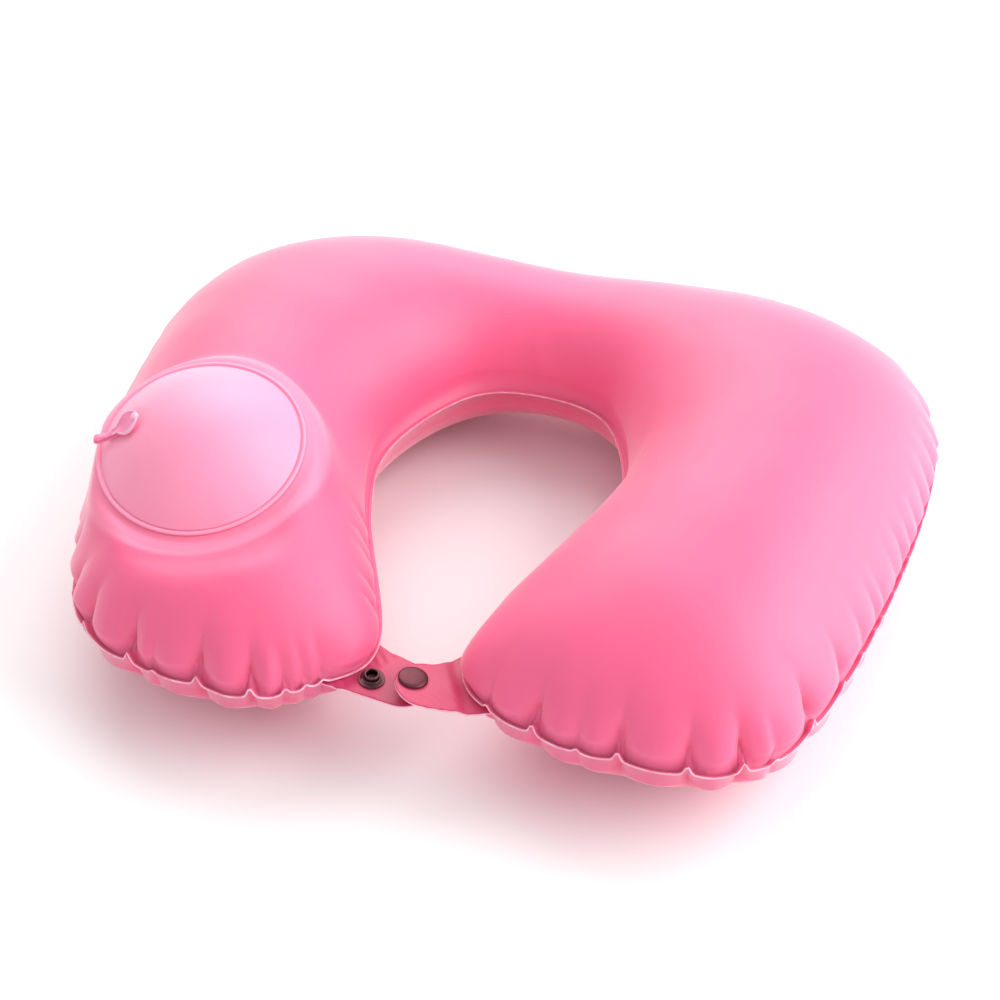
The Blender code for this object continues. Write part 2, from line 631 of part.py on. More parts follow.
def build():
    clear_scene()
    parts = make_collection("neck_pillow")
    tools = make_collection("cutters")
    pink = make_material("pink_film", (0.90, 0.22, 0.40), 0.45)
    pale = make_material("pink_dome_film", (0.92, 0.30, 0.48), 0.42)
    plastic = make_material("clear_pink_plastic", (0.93, 0.36, 0.55), 0.30)
    foam = make_material("white_foam", (0.85, 0.83, 0.78), 0.95)
    metal = make_material("rose_steel", (0.42, 0.24, 0.27), 0.28, 1.0)
    dark = make_material("gunmetal", (0.10, 0.06, 0.07), 0.30, 1.0)
    bright = make_material("spring_steel", (0.60, 0.60, 0.62), 0.25, 1.0)
    add_panels(parts, pink)
    valve = add_pump(parts, tools, pale, foam, plastic)
    add_valve(valve, parts, tools, plastic)
    right, left = add_tabs(parts, pink)
    add_snaps(right, left, parts, metal, dark, bright)


build()
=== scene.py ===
"""The looks of an inflatable U-shaped neck pillow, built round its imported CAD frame.

Metres, +Z up, opening towards -Y. The film panels repeat the CAD's outline and membrane shape on a
finer mesh, with the puckers, creases and bulges that a blown-up film takes at its welded edge.
"""

import math

import bmesh
import bpy
import numpy as np
from mathutils import Matrix, Vector, noise
from mathutils.geometry import delaunay_2d_cdt


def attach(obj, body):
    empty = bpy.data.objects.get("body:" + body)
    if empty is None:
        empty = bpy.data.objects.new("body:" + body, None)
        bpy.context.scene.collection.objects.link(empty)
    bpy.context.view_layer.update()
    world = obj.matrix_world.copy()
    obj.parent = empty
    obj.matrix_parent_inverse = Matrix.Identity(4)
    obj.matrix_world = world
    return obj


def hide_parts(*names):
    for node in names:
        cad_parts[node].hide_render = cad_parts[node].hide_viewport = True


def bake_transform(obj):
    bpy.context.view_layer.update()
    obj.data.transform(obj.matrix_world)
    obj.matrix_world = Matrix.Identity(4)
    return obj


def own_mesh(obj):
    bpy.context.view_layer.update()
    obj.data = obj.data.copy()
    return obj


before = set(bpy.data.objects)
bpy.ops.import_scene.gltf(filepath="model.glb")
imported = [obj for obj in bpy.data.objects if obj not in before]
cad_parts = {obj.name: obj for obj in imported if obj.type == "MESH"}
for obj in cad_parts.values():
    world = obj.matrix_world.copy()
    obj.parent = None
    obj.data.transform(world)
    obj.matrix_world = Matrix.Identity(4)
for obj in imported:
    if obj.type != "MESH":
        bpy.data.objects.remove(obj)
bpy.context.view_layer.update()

# ---------------------------------------------------------------- the CAD's own dimensions
OUTLINE = [
    (0.000, 0.163), (0.133, 0.153), (0.202, 0.080), (0.167, -0.129), (0.087, -0.161),
    (0.016, -0.127), (0.046, -0.032), (0.057, 0.011), (0.037, 0.064), (-0.003, 0.077),
    (-0.037, 0.065), (-0.062, 0.016), (-0.056, -0.034), (-0.025, -0.116), (-0.040, -0.148),
    (-0.083, -0.167), (-0.170, -0.126), (-0.201, 0.076), (-0.133, 0.158),
]
FLANGE_WIDTH = 0.0045
FLANGE_HEIGHT = 0.04295
UPPER_FULLNESS = 0.915
LOWER_FULLNESS = 0.68
CONTACT_DEPTH = 0.0424
SEAT_CENTRE = Vector((-0.125, -0.067, FLANGE_HEIGHT + 0.0520))
SEAT_TILT = math.radians(16.5)
SEAT_HOLE_RADIUS = 0.0446
DOME_RADIUS = 0.0437
DOME_HEIGHT = 0.0230
# The film over the dome: where it ends, and how high its edge and its top stand over the seat.
SKIN_RADIUS = 0.0459
SKIN_FOOT = 0.0017
SKIN_TOP = 0.0231
VALVE_DISTANCE = 0.0315
VALVE_BEARING = math.radians(-174)
RIGHT_HINGE = (0.0173, -0.1320)
RIGHT_YAW = math.radians(206.6)
RIGHT_TILT = math.radians(10)
LEFT_HINGE = (-0.0272, -0.1367)
LEFT_YAW = math.radians(-33.4)
LEFT_TILT = math.radians(-5)
CAP_PLACE = (0.0215, -0.0030)
STUD_PLACE = (0.0064, 0.0004)
PLUG_TWIST = math.radians(17)
LEAF_HALF_WIDTH = 0.0061
LEAF_NECK = 0.88  # the share of the leaf's length at which only the strap's neck is left

# ---------------------------------------------------------------- the film's look
FILM = 0.0004  # thickness shown at the cut edges
EDGE_SPACING = 0.0013  # mesh density along the flange and the foot of the walls
# Depths from the edge of the mesh's rings: dense where the wall is steep.
STEEP_DEPTHS = (0.0015, 0.0030, 0.0045, 0.0048, 0.0053, 0.0060, 0.0069, 0.0081, 0.0096)
# Deeper rings, with the spacing of the points along each.
RINGS = [(0.0116, 0.0026), (0.0140, 0.0030), (0.0170, 0.0034), (0.0206, 0.0040), (0.0248, 0.0046)]
FIELD_SPACING = 0.0046
SEAT_RINGS = (
    0.0446, 0.0464, 0.0480, 0.0492, 0.0504, 0.0516, 0.0530, 0.0545, 0.0560, 0.0575, 0.0590, 0.0605, 0.0630,
    0.0665, 0.0710,
)
# The seat fades into the film between two radii: early where it stands over the film, late where it
# presses the film in.
SEAT_PROUD_FADE = (0.0484, 0.0650)
SEAT_PRESSED_FADE = (0.0575, 0.0810)
SEAT_EDGE_FADE = 0.0092
PAINTED_LIGHT_RADIUS = 0.0600  # radius of a lighter ring painted round the pump: painted light on the seat's annulus
# Rings pressed into the seat, each as height, radius and width: a groove outside the rim, and the lip
# at the annulus's outer edge.
SEAT_RELIEF = [(-0.0013, 0.0506, 0.0022), (0.0009, 0.0600, 0.0020)]

# Deep puckers on the flange's edge: where each one is, and how strong it is.
PUCKERS = [
    (0.034, -0.141, 0.45), (0.056, -0.150, 1.00), (0.075, -0.159, 0.40), (0.093, -0.157, 0.95),
    (0.122, -0.154, 0.90), (0.141, -0.145, 1.00), (0.156, -0.141, 0.30), (0.169, -0.120, 1.00),
    (0.179, -0.092, 0.65), (-0.170, -0.127, 0.60), (-0.154, -0.144, 0.90), (-0.128, -0.160, 1.00),
    (-0.116, -0.165, 0.35), (-0.093, -0.161, 0.95), (-0.070, -0.159, 1.00), (-0.057, -0.156, 0.60),
    (-0.048, -0.152, 0.40), (-0.042, -0.147, 0.35),
]
# Stretches of edge with finer gathers: between which two places, how far apart, and how strong.
GATHERS = [
    ((0.183, -0.070), (0.201, 0.085), 0.0145, 0.34),
    ((0.200, 0.095), (0.120, 0.160), 0.0290, 0.80),
    ((0.100, 0.163), (-0.105, 0.166), 0.0240, 0.30),
    ((-0.125, 0.160), (-0.200, 0.085), 0.0290, 0.80),
    ((-0.203, 0.065), (-0.180, -0.105), 0.0170, 0.36),
    ((-0.050, -0.052), (-0.031, -0.106), 0.0130, 0.42),
]
CREASE_WIDTH = 0.0046
PUCKER_REACH = 0.030
TENT_WIDTH = 0.0015
TENT_FLARE = 0.0058
TENT_HEIGHT = 0.0076
VALLEY_DEPTH = 0.0080
VALLEY_LEVEL = 0.0175
OUTER_BULGE = 0.0048
INNER_BULGE = 0.0016
WELD_SINK = 0.0036
# For each panel: which way it rises, its share of the bulge and of the valleys, the height at which it
# bulges most, and the height at which the weld's tents fade.
UPPER_WALL = (1, 1.0, 1.0, 0.0080, 0.0130)
LOWER_WALL = (-1, 0.55, 0.70, 0.0090, 0.0100)

CAMERA_AIM = Vector((0.0009, -0.0077, 0.0430))
CAMERA_DISTANCE = 0.9703
CAMERA_AZIMUTH = math.radians(15.15)
CAMERA_ELEVATION = math.radians(40.24)
CAMERA_LENS = 72.0


# ---------------------------------------------------------------- outline and membrane
def smooth_loop(points, steps=24):
    """A closed Catmull-Rom curve through the points."""
    here = np.array(points)
    before, after, later = np.roll(here, 1, 0), np.roll(here, -1, 0), np.roll(here, -2, 0)
    t = (np.arange(steps) / steps)[:, None, None]
    curve = 0.5 * (
        2 * here
        + (after - before) * t
        + (2 * before - 5 * here + 4 * after - later) * t**2
        + (3 * here - before - 3 * after + later) * t**3
    )
    return curve.transpose(1, 0, 2).reshape(-1, 2)


def even_loop(loop, spacing):
    """The same closed loop with its points evenly spaced."""
    closed = np.vstack([loop, loop[:1]])
    run = np.append(0, np.cumsum(np.linalg.norm(np.diff(closed, axis=0), axis=1)))
    count = round(run[-1] / spacing)
    at = np.arange(count) * run[-1] / count
    return np.column_stack([np.interp(at, run, closed[:, axis]) for axis in range(2)])


def inwards(loop):
    """The inward direction at each point of a clockwise loop."""
    along = np.roll(loop, -1, 0) - np.roll(loop, 1, 0)
    along /= np.linalg.norm(along, axis=1)[:, None]
    return np.column_stack([along[:, 1], -along[:, 0]])


def inset(loop, distance):
    return loop + distance * inwards(loop)


def centred_outline():
    loop = smooth_loop(OUTLINE)
    return loop - (loop.min(0) + loop.max(0)) / 2


def distance_to(loop, points, chunk=2000):
    run = np.roll(loop, -1, 0) - loop
    length = (run * run).sum(1)
    found = []
    for first in range(0, len(points), chunk):
        offset = points[first : first + chunk, None, :] - loop[None, :, :]
        share = np.clip((offset * run).sum(2) / length, 0, 1)
        found.append(np.linalg.norm(offset - share[:, :, None] * run, axis=2).min(1))
    return np.concatenate(found)


def is_inside(loop, points, chunk=2000):
    """Even-odd test of each point against the closed loop."""
    after = np.roll(loop, -1, 0)
    rise = after[:, 1] - loop[:, 1]
    rise = np.where(np.abs(rise) < 1e-12, 1e-12, rise)
    found = []
    for first in range(0, len(points), chunk):
        x, y = points[first : first + chunk, 0:1], points[first : first + chunk, 1:2]
        crosses = (loop[None, :, 1] > y) != (after[None, :, 1] > y)
        at = loop[None, :, 0] + (y - loop[None, :, 1]) / rise * (after[None, :, 0] - loop[None, :, 0])
        found.append((crosses & (x < at)).sum(1) % 2 == 1)
    return np.concatenate(found)


def smoothstep(low, high, value):
    share = np.clip((value - low) / (high - low), 0, 1)
    return share * share * (3 - 2 * share)


def seat_radius(points):
    """Distance from the pump's axis, measured in the tilted plane of its seat."""
    across = points[:, 0] - SEAT_CENTRE[0]
    along = (points[:, 1] - SEAT_CENTRE[1]) / math.cos(SEAT_TILT)
    return np.hypot(across, along)


def seat_height(points):
    return SEAT_CENTRE[2] + (points[:, 1] - SEAT_CENTRE[1]) * math.tan(SEAT_TILT)


def seat_circle(radius, spacing=0.0027):
    count = round(2 * math.pi * SEAT_HOLE_RADIUS / spacing)
    turn = 2 * math.pi * np.arange(count) / count
    across = SEAT_CENTRE[0] + radius * np.cos(turn)
    along = SEAT_CENTRE[1] + radius * np.sin(turn) * math.cos(SEAT_TILT)
    return np.column_stack([across, along])


def panel_layout():
    """The flat pattern of both panels: its points, its triangles and their depth from the edge."""
    outline = centred_outline()
    edge = even_loop(outline, EDGE_SPACING)
    rings = [(depth, inset(edge, depth)) for depth in STEEP_DEPTHS]
    rings += [(depth, even_loop(inset(even_loop(outline, space), depth), space)) for depth, space in RINGS]
    rings = [ring[distance_to(outline, ring) > 0.985 * depth - 0.0001] for depth, ring in rings]
    low, high = outline.min(0), outline.max(0)
    rows = np.arange(low[1], high[1], FIELD_SPACING * math.sin(math.pi / 3))
    columns = np.arange(low[0], high[0], FIELD_SPACING)
    field = np.array([(x + FIELD_SPACING / 2 * (i % 2), y) for i, y in enumerate(rows) for x in columns])
    field = field[is_inside(outline, field)]
    field = field[distance_to(outline, field) > RINGS[-1][0] + 0.6 * FIELD_SPACING]
    radius = seat_radius(field)
    field = field[(radius < SEAT_RINGS[0] - 0.003) | (radius > SEAT_RINGS[-1] + 0.003)]
    steep = np.vstack(rings)
    clear = (seat_radius(steep) > SEAT_RINGS[-1] + 0.002) | (distance_to(outline, steep) < 0.0082)
    steep = steep[clear]
    seat = np.vstack([seat_circle(radius) for radius in SEAT_RINGS[1:]])
    seat = seat[is_inside(outline, seat)]
    seat = seat[distance_to(outline, seat) > 0.0092]
    hole = seat_circle(SEAT_RINGS[0])
    points = np.vstack([edge, hole, steep, seat, field])
    loops = [(0, len(edge)), (len(edge), len(hole))]
    edges = [(first + i, first + (i + 1) % count) for first, count in loops for i in range(count)]
    found = delaunay_2d_cdt([Vector(p) for p in points], edges, [list(range(len(edge)))], 1, 1e-7)
    spots = np.array([tuple(point) for point in found[0]])
    return spots, np.array(found[2]), distance_to(outline, spots)


def membrane(spots, triangles, free):
    """Height of a film blown up from the pattern, for a half-round section.

    Half the height squared solves the membrane equation, here by conjugate gradients.
    """
    a, b, c = (spots[triangles[:, corner]] for corner in range(3))
    sides = np.stack([c - b, a - c, b - a], 1)
    twice_area = np.abs(sides[:, 0, 0] * sides[:, 1, 1] - sides[:, 0, 1] * sides[:, 1, 0])
    local = (np.einsum("nik,njk->nij", sides, sides) / (2 * twice_area[:, None, None])).ravel()
    rows, columns = np.repeat(triangles, 3, 1).ravel(), np.tile(triangles, (1, 3)).ravel()
    load = np.bincount(triangles.ravel(), np.repeat(twice_area / 6, 3), len(spots)) * free
    scale = np.bincount(rows, local * (rows == columns), len(spots))
    scale[~free] = 1
    half_square = np.zeros(len(spots))
    rest = load.copy()
    step = rest / scale
    power = rest @ step
    for _ in range(1500):
        push = np.bincount(rows, local * step[columns], len(spots)) * free
        size = power / (step @ push)
        half_square += size * step
        rest -= size * push
        if np.abs(rest).max() < 1e-11:
            break
        scaled = rest / scale
        step = scaled + (rest @ scaled) / power * step
        power = rest @ scaled
    return np.sqrt(2 * np.maximum(half_square, 0))


# ---------------------------------------------------------------- meshes
def mesh_object(name, points, faces):
    mesh = bpy.data.meshes.new(name)
    mesh.from_pydata([tuple(map(float, p)) for p in points], [], [tuple(map(int, f)) for f in faces])
    work = bmesh.new()
    work.from_mesh(mesh)
    bmesh.ops.delete(work, geom=[v for v in work.verts if not v.link_faces], context="VERTS")
    bmesh.ops.recalc_face_normals(work, faces=work.faces)
    work.to_mesh(mesh)
    work.free()
    mesh.shade_smooth()
    obj = bpy.data.objects.new(name, mesh)
    bpy.context.scene.collection.objects.link(obj)
    return obj


def face_up(obj):
    """Turns an open sheet's normals so that they point up on the whole."""
    if sum(face.normal.z * face.area for face in obj.data.polygons) < 0:
        obj.data.flip_normals()


def sheet_normals(points, triangles):
    """The normal at each vertex of a sheet whose triangles all wind the same way, pointing up."""
    a, b, c = (points[triangles[:, corner]] for corner in range(3))
    flat = np.cross(b - a, c - a)
    flat *= np.where(np.cross((b - a)[:, :2], (c - a)[:, :2]) < 0, -1, 1)[:, None]
    normal = np.zeros_like(points)
    for corner in range(3):
        np.add.at(normal, triangles[:, corner], flat)
    length = np.linalg.norm(normal, axis=1)
    return normal / np.where(length < 1e-15, 1, length)[:, None]


def thicken(obj, thickness, offset, rim_material=0):
    shell = obj.modifiers.new("film", "SOLIDIFY")
    shell.thickness = thickness
    shell.offset = offset
    shell.material_offset_rim = rim_material
    return shell


def turned(name, profile, place, steps=72):
    """A turned piece from (radius, height) points, in the frame that place gives.

    Ends that lie on the axis close it, and otherwise its last point joins its first.
    """
    points, faces, rows = [], [], []
    for radius, height in profile:
        if radius < 1e-7:
            rows.append([len(points)])
            points.append(place @ Vector((0, 0, height)))
            continue
        rows.append([len(points) + i for i in range(steps)])
        for i in range(steps):
            turn = 2 * math.pi * i / steps
            points.append(place @ Vector((radius * math.cos(turn), radius * math.sin(turn), height)))
    pairs = list(zip(rows, rows[1:]))
    if len(rows[0]) > 1 and len(rows[-1]) > 1:
        pairs.append((rows[-1], rows[0]))
    for upper, lower in pairs:
        for i in range(steps):
            j = (i + 1) % steps
            corners = [row[k % len(row)] for row, k in ((upper, i), (upper, j), (lower, j), (lower, i))]
            faces.append(list(dict.fromkeys(corners)))
    obj = mesh_object(name, points, faces)
    obj.data.set_sharp_from_angle(angle=math.radians(38))
    return obj


def rounded(profile, radius, steps=4):
    """The same closed profile with its corners rounded off."""
    done = []
    count = len(profile)
    for i in range(count):
        here = Vector(profile[i])
        before, after = Vector(profile[i - 1]) - here, Vector(profile[(i + 1) % count]) - here
        reach = min(radius, before.length * 0.45, after.length * 0.45)
        start, end = here + before.normalized() * reach, here + after.normalized() * reach
        for k in range(steps + 1):
            t = k / steps
            spot = start * (1 - t) ** 2 + here * 2 * t * (1 - t) + end * t**2
            done.append((spot.x, spot.y))
    return done


# ---------------------------------------------------------------- materials
class Nodes:
    """A small helper for building one material's node tree."""

    def __init__(self, name, color, roughness, metallic=0.0):
        self.material = bpy.data.materials.new(name)
        self.material.use_nodes = True
        self.tree = self.material.node_tree
        self.shader = self.tree.nodes["Principled BSDF"]
        self.shader.inputs["Base Color"].default_value = (*color, 1)
        self.shader.inputs["Roughness"].default_value = roughness
        self.shader.inputs["Metallic"].default_value = metallic
        self.place = self.tree.nodes.new("ShaderNodeTexCoord").outputs["Object"]
        self.bumps = None

    def noise(self, scale, detail=3.0, roughness=0.5, stretch=None):
        where = self.place
        if stretch is not None:
            mapping = self.tree.nodes.new("ShaderNodeMapping")
            mapping.inputs["Scale"].default_value = stretch
            self.tree.links.new(where, mapping.inputs["Vector"])
            where = mapping.outputs["Vector"]
        node = self.tree.nodes.new("ShaderNodeTexNoise")
        node.inputs["Scale"].default_value = scale
        node.inputs["Detail"].default_value = detail
        node.inputs["Roughness"].default_value = roughness
        self.tree.links.new(where, node.inputs["Vector"])
        return node.outputs["Fac"]

    def wave(self, scale, direction, distortion=0.4):
        node = self.tree.nodes.new("ShaderNodeTexWave")
        node.bands_direction = direction
        node.inputs["Scale"].default_value = scale
        node.inputs["Distortion"].default_value = distortion
        self.tree.links.new(self.place, node.inputs["Vector"])
        return node.outputs["Fac"]

    def ramp(self, value, stops):
        node = self.tree.nodes.new("ShaderNodeValToRGB")
        elements = node.color_ramp.elements
        while len(elements) < len(stops):
            elements.new(0.5)
        for element, (position, color) in zip(elements, stops):
            element.position = position
            element.color = (*color, 1)
        self.tree.links.new(value, node.inputs["Fac"])
        return node.outputs["Color"]

    def spread(self, value, low, high):
        node = self.tree.nodes.new("ShaderNodeMapRange")
        node.inputs["To Min"].default_value = low
        node.inputs["To Max"].default_value = high
        self.tree.links.new(value, node.inputs["Value"])
        return node.outputs["Result"]

    def near(self, centre, inner, outer):
        """1 up to the inner distance from a place on the object, fading to 0 at the outer one."""
        gap = self.tree.nodes.new("ShaderNodeVectorMath")
        gap.operation = "DISTANCE"
        gap.inputs[1].default_value = centre
        self.tree.links.new(self.place, gap.inputs[0])
        fade = self.tree.nodes.new("ShaderNodeMapRange")
        fade.interpolation_type = "SMOOTHSTEP"
        for socket, value in (("From Min", inner), ("From Max", outer), ("To Min", 1.0), ("To Max", 0.0)):
            fade.inputs[socket].default_value = value
        self.tree.links.new(gap.outputs["Value"], fade.inputs["Value"])
        return fade.outputs["Result"]

    def mix(self, share, value, color):
        node = self.tree.nodes.new("ShaderNodeMixRGB")
        node.inputs["Color2"].default_value = (*color, 1)
        self.tree.links.new(share, node.inputs["Fac"])
        self.tree.links.new(value, node.inputs["Color1"])
        return node.outputs["Color"]

    def use(self, socket, value):
        self.tree.links.new(value, self.shader.inputs[socket])

    def bump(self, value, strength, distance):
        node = self.tree.nodes.new("ShaderNodeBump")
        node.inputs["Strength"].default_value = strength
        node.inputs["Distance"].default_value = distance
        self.tree.links.new(value, node.inputs["Height"])
        if self.bumps is not None:
            self.tree.links.new(self.bumps, node.inputs["Normal"])
        self.bumps = node.outputs["Normal"]
        self.tree.links.new(self.bumps, self.shader.inputs["Normal"])


def shade(color, factor):
    return tuple(min(1.0, channel * factor) for channel in color)


def film_material(name, color, roughness=0.50, sheen=0.55, patch=None):
    """Satin film on a fine woven backing: faint weave, mottled colour and small soft creases.

    The patch is a lighter colour painted in a ring round the pump: painted light on the seat's annulus.
    """
    nodes = Nodes(name, color, roughness)
    stops = [(0.30, shade(color, 0.95)), (0.55, color), (0.78, shade(color, 1.06))]
    mottled = nodes.ramp(nodes.noise(9.0, 4.0, 0.55), stops)
    if patch is not None:
        # Painted light: the patch colour fills a ring round the pump and fades out just past its edge.
        painted_light_share = nodes.near(SEAT_CENTRE, PAINTED_LIGHT_RADIUS - 0.0030, PAINTED_LIGHT_RADIUS + 0.0010)
        mottled = nodes.mix(painted_light_share, mottled, patch)
    nodes.use("Base Color", mottled)
    nodes.use("Roughness", nodes.spread(nodes.noise(38.0, 4.0, 0.6), roughness - 0.07, roughness + 0.09))
    nodes.bump(nodes.noise(30.0, 6.0, 0.58, (1.0, 0.5, 0.8)), 0.24, 0.0011)
    for direction in ("X", "Y"):
        nodes.bump(nodes.wave(620.0, direction), 0.10, 0.00008)
    nodes.shader.inputs["Sheen Weight"].default_value = sheen
    nodes.shader.inputs["Sheen Roughness"].default_value = 0.45
    nodes.shader.inputs["Sheen Tint"].default_value = (1.0, 0.90, 0.94, 1)
    nodes.shader.inputs["Specular IOR Level"].default_value = 0.75
    return nodes.material


def edge_material():
    """The pale cut edge of the welded films, where the white backing shows."""
    pale, deeper = (1.0, 0.60, 0.74), (0.97, 0.34, 0.50)
    nodes = Nodes("cut_edge", pale, 0.5)
    nodes.use("Base Color", nodes.ramp(nodes.noise(240.0, 3.0), [(0.35, deeper), (0.65, pale)]))
    nodes.bump(nodes.noise(900.0, 2.0), 0.2, 0.0001)
    return nodes.material


def plastic_material(name, color, roughness=0.30):
    """Soft moulded PVC: slightly cloudy, with fine flow marks."""
    nodes = Nodes(name, color, roughness)
    cloudy = nodes.noise(160.0, 3.0)
    nodes.use("Base Color", nodes.ramp(cloudy, [(0.35, shade(color, 0.90)), (0.65, shade(color, 1.06))]))
    nodes.use("Roughness", nodes.spread(nodes.noise(420.0, 3.0), roughness - 0.05, roughness + 0.10))
    nodes.bump(nodes.noise(520.0, 3.0), 0.12, 0.0001)
    nodes.shader.inputs["Coat Weight"].default_value = 0.15
    return nodes.material


def metal_material(name, color, roughness, wear=0.10):
    """Turned and lacquered metal, with fine marks worn paler in places."""
    nodes = Nodes(name, color, roughness, 1.0)
    stops = [(0.35, shade(color, 1 - wear)), (0.70, shade(color, 1 + wear))]
    nodes.use("Base Color", nodes.ramp(nodes.noise(110.0, 3.0), stops))
    nodes.use("Roughness", nodes.spread(nodes.noise(260.0, 3.0), roughness - 0.03, roughness + 0.05))
    nodes.bump(nodes.noise(900.0, 2.0), 0.02, 0.00003)
    return nodes.material


def foam_material():
    color = (0.86, 0.84, 0.78)
    nodes = Nodes("open_foam", color, 0.95)
    cell = nodes.tree.nodes.new("ShaderNodeTexVoronoi")
    cell.inputs["Scale"].default_value = 900.0
    nodes.tree.links.new(nodes.place, cell.inputs["Vector"])
    # The cells' pits, sunk by the bump below, are darker: painted shade in the foam's pores.
    nodes.use("Base Color", nodes.ramp(cell.outputs["Distance"], [(0.1, shade(color, 0.70)), (0.6, color)]))
    nodes.bump(cell.outputs["Distance"], 0.6, 0.0004)
    return nodes.material


# ---------------------------------------------------------------- the bladder
def pucker_places(outline):
    """Every pucker as its place on the edge, its inward direction, its strength and its width."""
    step = 0.0005
    fine = even_loop(outline, step)
    inward = inwards(fine)

    def nearest(place):
        return int(np.argmin(np.linalg.norm(fine - np.array(place), axis=1)))

    found = [(nearest((x, y)), strength, CREASE_WIDTH) for x, y, strength in PUCKERS]
    random = np.random.default_rng(7)
    for start, end, spacing, strength in GATHERS:
        first, last = nearest(start), nearest(end)
        ways = ((last - first) % len(fine), -((first - last) % len(fine)))
        way = min(ways, key=abs)
        count = max(2, round(abs(way) * step / spacing))
        for i in range(count + 1):
            shift = random.uniform(-0.22, 0.22) / count if 0 < i < count else 0
            index = int(first + way * (i / count + shift)) % len(fine)
            width = CREASE_WIDTH * min(1.0, spacing / 0.024)
            found.append((index, strength * random.uniform(0.65, 1.2), width))
    return [(fine[index], inward[index], strength, width) for index, strength, width in found]


def pucker_field(spots, puckers):
    """How close each spot is to a pucker, as a soft value for its crease and a sharp one for its tent."""
    soft, tent = np.zeros(len(spots)), np.zeros(len(spots))
    for place, inward, strength, width in puckers:
        offset = spots - place
        along = offset @ inward
        across = offset @ np.array([-inward[1], inward[0]])
        near = np.exp(-((along / PUCKER_REACH) ** 2))
        spread = width * (0.75 + np.clip(along, 0, None) / 0.022)
        soft = np.maximum(soft, strength * near * np.exp(-np.abs(across) / spread))
        flare = 0.45 * np.exp(-np.abs(across) / (TENT_FLARE * width / CREASE_WIDTH))
        peak = 0.55 * np.exp(-((across / TENT_WIDTH) ** 2))
        tent = np.maximum(tent, strength * near * (flare + peak))
    return soft, tent


def neck_share(spots, outline):
    """1 beside the neck opening, where the edge is stretched tight, and 0 along the outer edge."""
    x, y = outline.T
    beside_neck = (np.abs(x) < 0.068) & (y > -0.112) & (y < 0.10)
    gap = distance_to_points(outline[~beside_neck], spots) - distance_to_points(outline[beside_neck], spots)
    return smoothstep(-0.012, 0.012, gap)


def distance_to_points(cloud, points, chunk=2000):
    found = []
    for first in range(0, len(points), chunk):
        offset = points[first : first + chunk, None, :] - cloud[None, :, :]
        found.append(np.linalg.norm(offset, axis=2).min(1))
    return np.concatenate(found)


def wrinkles(points, depth):
    """Long soft creases of the blown-up film, deeper near the weld, in metres along the normal."""
    out = np.zeros(len(points))
    for i, (x, y, z) in enumerate(points):
        long_wave = noise.noise(Vector((x * 21, y * 34, z * 21 + 3)))
        fold = noise.noise(Vector((x * 62 + 7, y * 24, z * 40)))
        out[i] = 0.00060 * long_wave + 0.00070 * (0.5 - abs(fold)) * math.exp(-depth[i] / 0.035)
    return out


def shaped_panel(spots, height, triangles, depth, outline, upper):
    """The panel's points with its bulge over the flange, its puckers and its wrinkles."""
    sign, bulge_share, valley_share, bulge_level, fade_level = UPPER_WALL if upper else LOWER_WALL
    puckers = pucker_places(outline)
    crease, tent = pucker_field(spots, puckers)
    neck = neck_share(spots, outline)
    rise = np.abs(height)
    points = np.column_stack([spots, FLANGE_HEIGHT + sign * rise])
    normal = sheet_normals(points, triangles)
    normal[:, :2] *= sign
    outward = normal.copy()
    outward[:, 2] *= 0.25
    bulge = (OUTER_BULGE * (1 - neck) + INNER_BULGE * neck) * bulge_share
    level = rise / bulge_level
    swell = level * np.exp(1 - level) * bulge * (1 - np.clip(crease, 0, 1))
    on_wall = smoothstep(0.0, 0.0030, rise)
    valley = VALLEY_DEPTH * crease * np.exp(-((rise / VALLEY_LEVEL) ** 2)) * on_wall * valley_share
    points += outward * swell[:, None]
    points -= outward * valley[:, None]
    sink = WELD_SINK * (1 - 0.75 * neck) * np.clip(depth / FLANGE_WIDTH, 0, 1) ** 1.3
    lift = TENT_HEIGHT * tent * (1 - 0.8 * neck)
    fade = np.exp(-((rise / fade_level) ** 2))
    points[:, 2] += (lift - sink) * fade
    if upper:
        seat = 1 - smoothstep(SEAT_PRESSED_FADE[0], SEAT_PRESSED_FADE[0] + 0.012, seat_radius(spots))
        points += normal * (wrinkles(points, depth) * (1 - seat) * smoothstep(0.004, 0.012, rise))[:, None]
    return points


def soft_limit(value, limit, sharpness=22):
    """The smaller of value and limit, with the corner rounded off."""
    share = np.maximum(value, 1e-6) / limit
    return limit * share / (1 + share**sharpness) ** (1 / sharpness)


